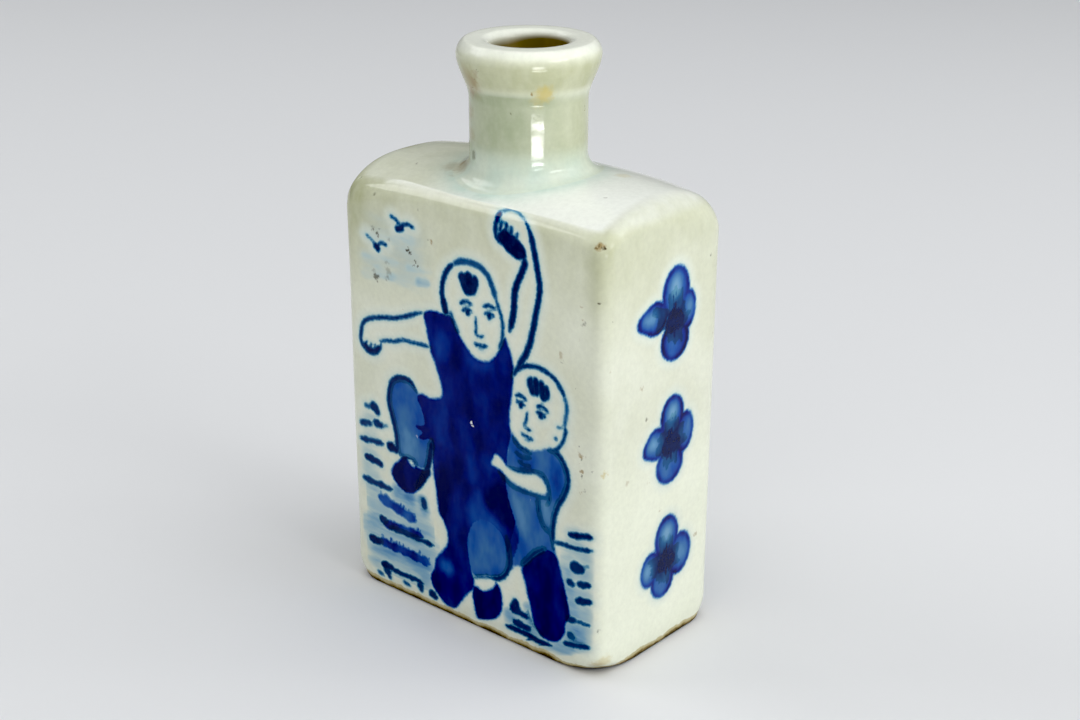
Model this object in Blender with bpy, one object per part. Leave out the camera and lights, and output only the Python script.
# Snuff bottle: a small flat-sided porcelain flask with a round neck and a rolled lip.
#
# Metres, +Z up. The origin is on the ground under the middle of the bottle. The bottle stands on
# its foot rim. Its broad painted front faces -Y and its narrow sides face -X and +X.
# It is one solid: a hollow body with walls of true thickness, open at the mouth.

import math

import bpy
import numpy as np

# Body outside
BODY_WIDTH = 0.0360
BODY_DEPTH = 0.0195
SHOULDER_HEIGHT = 0.0466  # height of the top surface along the front edge

# Upright edges of the body, each with its own rounding, as pressed by hand
FRONT_LEFT_ROUND = 0.0021
FRONT_RIGHT_ROUND = 0.0013
BACK_RIGHT_ROUND = 0.0024
BACK_LEFT_ROUND = 0.0022

# Rounding where the walls turn into the shoulder
FRONT_SHOULDER_ROUND = 0.0014
RIGHT_SHOULDER_ROUND = 0.0026
BACK_SHOULDER_ROUND = 0.0017
LEFT_SHOULDER_ROUND = 0.0012

# Shoulder: a low crown along the width, higher at the back, with corners that sank in the kiln
SHOULDER_CROWN = 0.0018
SHOULDER_END_DROP = 0.0004  # how much of the crown is lost at the two ends
CROWN_POWER = 2.3  # 2 is an even arc, more is flatter in the middle
BACK_RISE = 0.0008
FRONT_LEFT_SAG = 0.0028
FRONT_RIGHT_SAG = 0.0010
BACK_SAG = 0.0019
SAG_POWER = 4.0  # how close to its corner each sag stays

# Foot: a plain rim around a shallow recess
FOOT_RISE = 0.0028  # height over which the wall draws in to the foot
FOOT_INSET = 0.00035
FOOT_CORNER_ROUND = 0.0030
FOOT_NEAR_CORNER_ROUND = 0.0060  # the worn corner at the front right
FOOT_RIM_WIDTH = 0.0022
FOOT_RECESS = 0.0008

# Neck and lip
NECK_RADIUS = 0.0060
NECK_FLARE = 0.0018  # radius of the curve that sweeps up from the shoulder
NECK_LENGTH = 0.0131  # from the top of the crown to the top of the lip
LIP_OVERHANG = 0.0013  # how far the lip stands out from the neck
LIP_DROP = 0.0013  # from the top of the lip down to its widest line
LIP_UNDERSIDE = 0.0045  # from the widest line down to where the lip leaves the neck
LIP_ROLL = 0.0009  # from the widest line in to the crest of the lip
LIP_ROLL_POWER = 1.25  # 1 is a round roll, 2 a straight bevel
MOUTH_ROUND = 0.0009
LIP_SHIFT = (-0.0003, 0.0004)  # the lip sits slightly off the middle, thrown by hand
LIP_SLOPE = (-0.020, 0.024)  # and slightly off the level

# Hollow
WALL = 0.0021
NECK_WALL = 0.00205
FLOOR = 0.0022  # thickness over the recess of the foot
INNER_ROUND = 0.0020  # rounding of the hollow's upright corners
INNER_FLOOR_ROUND = 0.0016

# Limits that keep one curve clear of the next: the share of its own radius that a corner keeps
# when it is drawn in, and the share of the free width that a curve beside the neck may take
LEAST_ROUND = 0.2
MOST_ROOM = 0.9

# Mesh fineness, in steps along each stretch
FRONT_STEPS = 16
SIDE_STEPS = 10
CORNER_STEPS = 5
WALL_STEPS = 3

GLAZE_COLOUR = (0.74, 0.75, 0.66, 1.0)
GLAZE_ROUGHNESS = 0.12

TOTAL_HEIGHT = SHOULDER_HEIGHT + SHOULDER_CROWN + NECK_LENGTH
BORE_RADIUS = NECK_RADIUS - NECK_WALL
LIP_RADIUS = NECK_RADIUS + LIP_OVERHANG
LIP_WIDEST = TOTAL_HEIGHT - LIP_DROP
LIP_START = LIP_WIDEST - LIP_UNDERSIDE
INNER_FLOOR = FOOT_RECESS + FLOOR
CORNER_INSET = INNER_ROUND / 2  # where the hollow's ceiling starts to turn down


def clear_scene():
    for old in list(bpy.data.objects):
        bpy.data.objects.remove(old, do_unlink=True)


def rounded_rectangle(insets, rounds):
    """Plan points of a rounded rectangle, counter-clockwise from the left end of the front.

    insets are the distances in from the front, right, back and left walls. rounds are the corner
    radii in the order front left, front right, back right, back left.
    """
    front, right, back, left = insets
    x0, x1 = -BODY_WIDTH / 2 + left, BODY_WIDTH / 2 - right
    y0, y1 = -BODY_DEPTH / 2 + front, BODY_DEPTH / 2 - back
    fl, fr, br, bl = rounds
    straights = (
        ((x0 + fl, y0), (x1 - fr, y0), FRONT_STEPS),
        ((x1, y0 + fr), (x1, y1 - br), SIDE_STEPS),
        ((x1 - br, y1), (x0 + bl, y1), FRONT_STEPS),
        ((x0, y1 - bl), (x0, y0 + fl), SIDE_STEPS),
    )
    corners = (
        ((x1 - fr, y0 + fr), fr),
        ((x1 - br, y1 - br), br),
        ((x0 + bl, y1 - bl), bl),
        ((x0 + fl, y0 + fl), fl),
    )
    points = []
    for number, ((start, end, steps), (centre, radius)) in enumerate(zip(straights, corners)):
        share = np.arange(steps)[:, None] / steps
        points.append(np.array(start) + (np.array(end) - np.array(start)) * share)
        turn = math.radians(90) * (np.arange(CORNER_STEPS) / CORNER_STEPS + number - 1)
        points.append(np.array(centre) + radius * np.column_stack((np.cos(turn), np.sin(turn))))
    return np.concatenate(points)


def drawn_in(corner_round, inset):
    """The rounding of a corner drawn in by an inset, which never closes up altogether."""
    return np.maximum(corner_round - inset, LEAST_ROUND * corner_round)


def around(front, right, back, left):
    """One value per plan point, blended over the corners from each wall's value to the next."""
    walls = ((front, right, FRONT_STEPS), (right, back, SIDE_STEPS))
    walls += ((back, left, FRONT_STEPS), (left, front, SIDE_STEPS))
    values = []
    for here, following, steps in walls:
        share = np.arange(CORNER_STEPS) / CORNER_STEPS
        ease = share * share * (3 - 2 * share)
        values.append(np.full(steps, here))
        values.append(here + (following - here) * ease)
    return np.concatenate(values)


def crown_height(plan):
    """Height of the shoulder's top surface over plan points."""
    across = np.clip(plan[:, 0] / (BODY_WIDTH / 2), -1, 1)
    deep = np.clip(plan[:, 1] / (BODY_DEPTH / 2), -1, 1)
    crown = (SHOULDER_CROWN - SHOULDER_END_DROP * across**4) * (1 - np.abs(deep) ** CROWN_POWER)
    rise = BACK_RISE * (1 + deep) / 2 * (1 - across**2)
    front_corner = (np.clip(-deep, 0, 1) * np.abs(across)) ** SAG_POWER
    back_corner = (np.clip(deep, 0, 1) * np.abs(across)) ** SAG_POWER
    front_sag = np.where(across > 0, FRONT_RIGHT_SAG, FRONT_LEFT_SAG)
    return SHOULDER_HEIGHT + crown + rise - front_sag * front_corner - BACK_SAG * back_corner


def beside_neck(curve, radius, inset):
    """A curve that stands out from a radius, limited to the flat left inside an inset of the walls."""
    return min(curve, MOST_ROOM * (BODY_DEPTH / 2 - inset - radius))


def with_height(plan, height):
    return np.column_stack((plan, np.broadcast_to(height, len(plan))))


def circle_plan(radius):
    """Plan points evenly round a circle, as many as in a rounded rectangle and facing them."""
    count = 2 * (FRONT_STEPS + SIDE_STEPS) + 4 * CORNER_STEPS
    turn = 2 * math.pi * (np.arange(count) - FRONT_STEPS / 2) / count - math.pi / 2
    return radius * np.column_stack((np.cos(turn), np.sin(turn)))


def leaning(plan, height, share):
    """A ring of the lip, moved off the middle and off the level by a share of the whole lean."""
    moved = plan + np.array(LIP_SHIFT) * share
    return np.column_stack((moved, height + moved @ np.array(LIP_SLOPE) * share))


def foot_rings(rounds):
    """The underside from the recess out over the rim, then up to the full width of the wall."""
    corner = FOOT_CORNER_ROUND
    foot_rounds = np.array((corner, FOOT_NEAR_CORNER_ROUND, corner, corner))
    rings = []
    for inwards, height in ((FOOT_RIM_WIDTH + FOOT_RECESS, FOOT_RECESS), (FOOT_RIM_WIDTH, 0.0)):
        plan = rounded_rectangle((FOOT_INSET + inwards,) * 4, drawn_in(foot_rounds, inwards))
        rings.append(with_height(plan, height))
    for share in np.linspace(0, 1, 5):
        ease = math.sin(share * math.pi / 2)
        inset = FOOT_INSET * (1 - ease)
        plan = rounded_rectangle((inset,) * 4, foot_rounds + (rounds - foot_rounds) * ease)
        rings.append(with_height(plan, share * FOOT_RISE))
    return rings


def body_rings(rounds):
    """The walls, the rounds over to the crown, then the crown in to the foot of the neck's flare."""
    wall = rounded_rectangle((0.0,) * 4, rounds)
    sizes = (FRONT_SHOULDER_ROUND, RIGHT_SHOULDER_ROUND, BACK_SHOULDER_ROUND, LEFT_SHOULDER_ROUND)
    edge = around(*sizes)
    corner_insets = np.minimum(sizes, np.roll(sizes, 1))
    inner = rounded_rectangle(sizes, drawn_in(rounds, corner_insets))
    top = crown_height(inner)
    rings = []
    for share in np.linspace(0, 1, WALL_STEPS + 1)[1:-1]:
        rings.append(with_height(wall, FOOT_RISE + share * (top - edge - FOOT_RISE)))
    for turn in np.radians(np.linspace(0, 90, 6)):
        plan = wall + (inner - wall) * (1 - math.cos(turn))
        rings.append(with_height(plan, top - edge * (1 - math.sin(turn))))
    flare_foot = circle_plan(NECK_RADIUS + neck_flare())
    for share in (0.25, 0.5, 0.75, 1.0):
        plan = inner + (flare_foot - inner) * share
        rings.append(with_height(plan, crown_height(plan)))
    return rings


def neck_flare():
    inset = max(FRONT_SHOULDER_ROUND, BACK_SHOULDER_ROUND)
    return beside_neck(NECK_FLARE, NECK_RADIUS, inset)


def neck_rings():
    """The flare off the crown, the neck, the underside of the lip, its roll, crest and mouth."""
    flare = neck_flare()
    crown = crown_height(circle_plan(NECK_RADIUS + flare))
    rings = []
    for turn in np.radians(np.linspace(18, 90, 5)):
        plan = circle_plan(NECK_RADIUS + flare * (1 - math.sin(turn)))
        rings.append(with_height(plan, crown + flare * (1 - math.cos(turn))))
    neck_start = SHOULDER_HEIGHT + SHOULDER_CROWN + flare
    rings.append(with_height(circle_plan(NECK_RADIUS), (neck_start + LIP_START) / 2))
    for share in np.linspace(0, 1, 7)[:-1]:
        swell = share * share * (3 - 2 * share)
        plan = circle_plan(NECK_RADIUS + LIP_OVERHANG * swell)
        rings.append(leaning(plan, LIP_START + LIP_UNDERSIDE * share, share))
    for turn in np.radians(np.linspace(0, 90, 6)):
        inwards = 1 - abs(math.cos(turn)) ** LIP_ROLL_POWER
        upwards = math.sin(turn) ** LIP_ROLL_POWER
        plan = circle_plan(LIP_RADIUS - LIP_ROLL * inwards)
        rings.append(leaning(plan, LIP_WIDEST + LIP_DROP * upwards, 1))
    for turn in np.radians(np.linspace(15, 90, 4)):
        plan = circle_plan(BORE_RADIUS + MOUTH_ROUND * (1 - math.sin(turn)))
        rings.append(leaning(plan, TOTAL_HEIGHT - MOUTH_ROUND * (1 - math.cos(turn)), 1))
    rings.append(with_height(circle_plan(BORE_RADIUS), LIP_START))
    return rings


def hollow_rings():
    """The hollow, from the bottom of the bore out under the shoulder and down to the floor."""
    wall = rounded_rectangle((WALL,) * 4, (INNER_ROUND,) * 4)
    edge = rounded_rectangle((WALL + CORNER_INSET,) * 4, (INNER_ROUND - CORNER_INSET,) * 4)
    bore_round = beside_neck(WALL, BORE_RADIUS, WALL + CORNER_INSET)
    rings = []
    for turn in np.radians((90, 60, 30, 0)):
        plan = circle_plan(BORE_RADIUS + bore_round * (1 - math.sin(turn)))
        rings.append(with_height(plan, crown_height(plan) - WALL + bore_round * (1 - math.cos(turn))))
    under_bore = rings[-1][:, :2]
    for share in (0.5, 1.0):
        plan = under_bore + (edge - under_bore) * share
        rings.append(with_height(plan, crown_height(plan) - WALL))
    rings.append(with_height(wall, crown_height(wall) - WALL - CORNER_INSET))
    rings.append(with_height(wall, (SHOULDER_HEIGHT + INNER_FLOOR) / 2))
    for turn in np.radians((0, 30, 60, 90)):
        inset = INNER_FLOOR_ROUND * (1 - math.cos(turn))
        plan = rounded_rectangle((WALL + inset,) * 4, (drawn_in(INNER_ROUND, inset),) * 4)
        rings.append(with_height(plan, INNER_FLOOR + INNER_FLOOR_ROUND * (1 - math.sin(turn))))
    return rings


def lofted_mesh(name, rings):
    """Joins rings of equal length with quads and closes the first and the last with one face."""
    count = len(rings[0])
    points = np.concatenate(rings)
    first = np.arange(count)
    following = (first + 1) % count
    quads = []
    for level in range(len(rings) - 1):
        low, high = level * count, (level + 1) * count
        quads += np.column_stack((low + first, low + following, high + following, high + first)).tolist()
    start_cap = first[::-1].tolist()
    end_cap = ((len(rings) - 1) * count + first).tolist()
    mesh = bpy.data.meshes.new(name)
    mesh.from_pydata(points.tolist(), [], quads + [start_cap, end_cap])
    mesh.validate()
    mesh.shade_smooth()
    mesh.set_sharp_from_angle(angle=math.radians(40))
    return mesh


def glaze_material():
    material = bpy.data.materials.new("glazed_porcelain")
    material.use_nodes = True
    shader = material.node_tree.nodes["Principled BSDF"]
    shader.inputs["Base Color"].default_value = GLAZE_COLOUR
    shader.inputs["Roughness"].default_value = GLAZE_ROUGHNESS
    shader.inputs["Metallic"].default_value = 0.0
    return material


def build_bottle():
    rounds = np.array((FRONT_LEFT_ROUND, FRONT_RIGHT_ROUND, BACK_RIGHT_ROUND, BACK_LEFT_ROUND))
    rings = foot_rings(rounds) + body_rings(rounds) + neck_rings() + hollow_rings()
    bottle = bpy.data.objects.new("bottle", lofted_mesh("bottle", rings))
    bottle.data.materials.append(glaze_material())
    bpy.context.scene.collection.objects.link(bottle)
    return bottle


clear_scene()
build_bottle()
